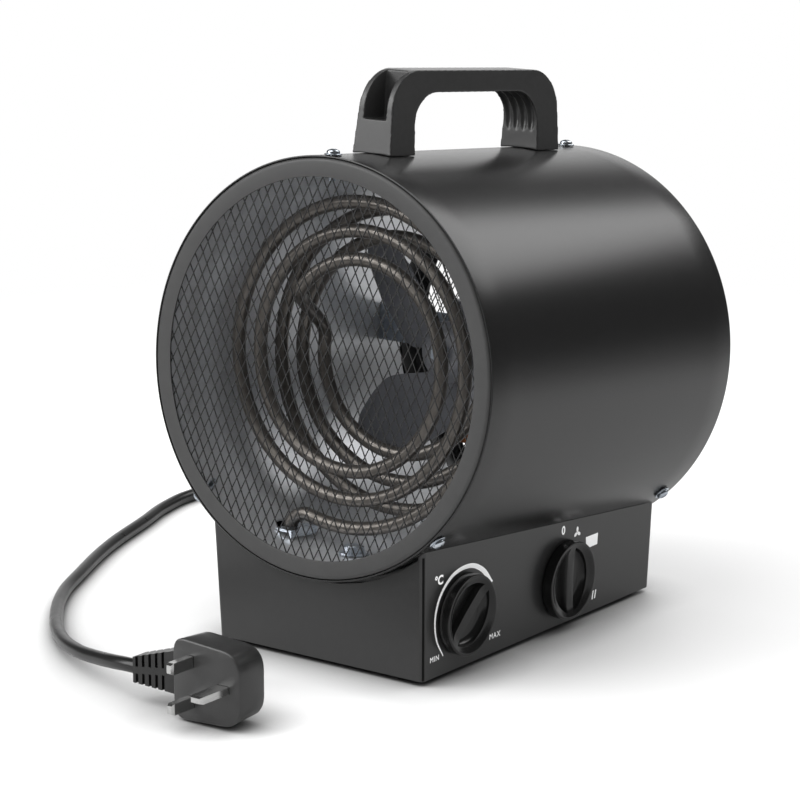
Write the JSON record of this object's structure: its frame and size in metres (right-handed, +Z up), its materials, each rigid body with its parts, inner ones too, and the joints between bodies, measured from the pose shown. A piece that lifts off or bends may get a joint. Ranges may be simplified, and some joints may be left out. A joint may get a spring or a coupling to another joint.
{
  "type": "space heater",
  "caption": "Portable drum fan heater: tilted steel tube with diamond grilles, spiral element, fan and motor, on a wedge base with thermostat and selector knobs, carry handle and mains cord.",
  "frame": {"origin": "on the floor under the middle of the drum, at the centre of the base's footprint side to side", "axes": "+Z up, -Y out of the warm-air grille, +X to the side with the two knobs"},
  "size_m": [0.4135, 0.5539, 0.3279],
  "materials": {
    "drum_paint": "satin black",
    "base_paint": "satin dark grey",
    "ring_paint": "satin grey",
    "grille_paint": "satin black",
    "moulding_black": "fine texture",
    "knob_gloss": "gloss black",
    "heat_shield_steel": "dull",
    "zinc_steel": "zinc plated",
    "sheath_steel": "heat tinted",
    "lamination_steel": "varnished",
    "winding_copper": "enamelled copper wire",
    "insulator_plastic": "plain",
    "soft_rubber": "matt black",
    "plug_plastic": "fine texture",
    "pin_nickel": "bright"
  },
  "bodies": {
    "root": {"base_plate": "base_paint", "base_tub": "base_paint", "cable_gland": "soft_rubber", "cord_coil": "soft_rubber", "cord_lead": "soft_rubber", "cord_run": "soft_rubber", "drum_shell": "drum_paint", "earth_pin": "pin_nickel", "element_bracket_left": "zinc_steel", "element_bracket_right": "zinc_steel", "foot_front_left": "soft_rubber", "foot_front_right": "soft_rubber", "foot_rear_left": "soft_rubber", "foot_rear_right": "soft_rubber", "front_grille": "grille_paint", "front_ring": "ring_paint", "front_saddle": "base_paint", "handle": "moulding_black", "handle_screw_front": "zinc_steel", "handle_screw_rear": "zinc_steel", "heating_element": "sheath_steel", "inner_liner": "heat_shield_steel", "live_pin": "pin_nickel", "motor_bolt_left": "zinc_steel", "motor_bolt_right": "zinc_steel", "motor_coil": "winding_copper", "motor_front_bracket": "zinc_steel", "motor_mount": "zinc_steel", "motor_rear_bracket": "zinc_steel", "motor_stator": "lamination_steel", "neutral_pin": "pin_nickel", "plug_body": "plug_plastic", "plug_relief": "soft_rubber", "rear_grille": "grille_paint", "rear_ring": "ring_paint", "rear_saddle": "base_paint", "saddle_screw_front_left": "zinc_steel", "saddle_screw_front_right": "zinc_steel", "saddle_screw_rear_left": "zinc_steel", "saddle_screw_rear_right": "zinc_steel", "selector_body": "insulator_plastic", "shell_screw_left_front": "zinc_steel", "shell_screw_left_rear": "zinc_steel", "shell_screw_right_front": "zinc_steel", "shell_screw_right_rear": "zinc_steel", "shell_screw_top_front": "zinc_steel", "shell_screw_top_rear": "zinc_steel", "terminal_block": "insulator_plastic", "thermal_cutout": "zinc_steel", "thermostat_body": "insulator_plastic"},
    "fan": {"fan_wheel": "moulding_black", "fan_nut": "zinc_steel", "motor_rotor": "lamination_steel"},
    "thermostat_knob": {"thermostat_knob": "knob_gloss", "thermostat_stem": "zinc_steel"},
    "selector_knob": {"selector_knob": "knob_gloss", "selector_stem": "zinc_steel"}
  },
  "joints": [
    {"name": "fan_spin", "type": "hinge", "parent": "root", "child": "fan", "pos_m": [0, 0, 0.1585], "axis": [0, 0.9962, -0.0872], "continuous": true},
    {"name": "thermostat_turn", "type": "hinge", "parent": "root", "child": "thermostat_knob", "pos_m": [0.07351, -0.0874, 0.03452], "axis": [0.9996, 0, -0.029], "range_deg": [-255, 0]},
    {"name": "selector_turn", "type": "hinge", "parent": "root", "child": "selector_knob", "pos_m": [0.0734, 0.014, 0.03049], "axis": [0.9996, 0, -0.029], "range_deg": [-120, 0]}
  ]
}
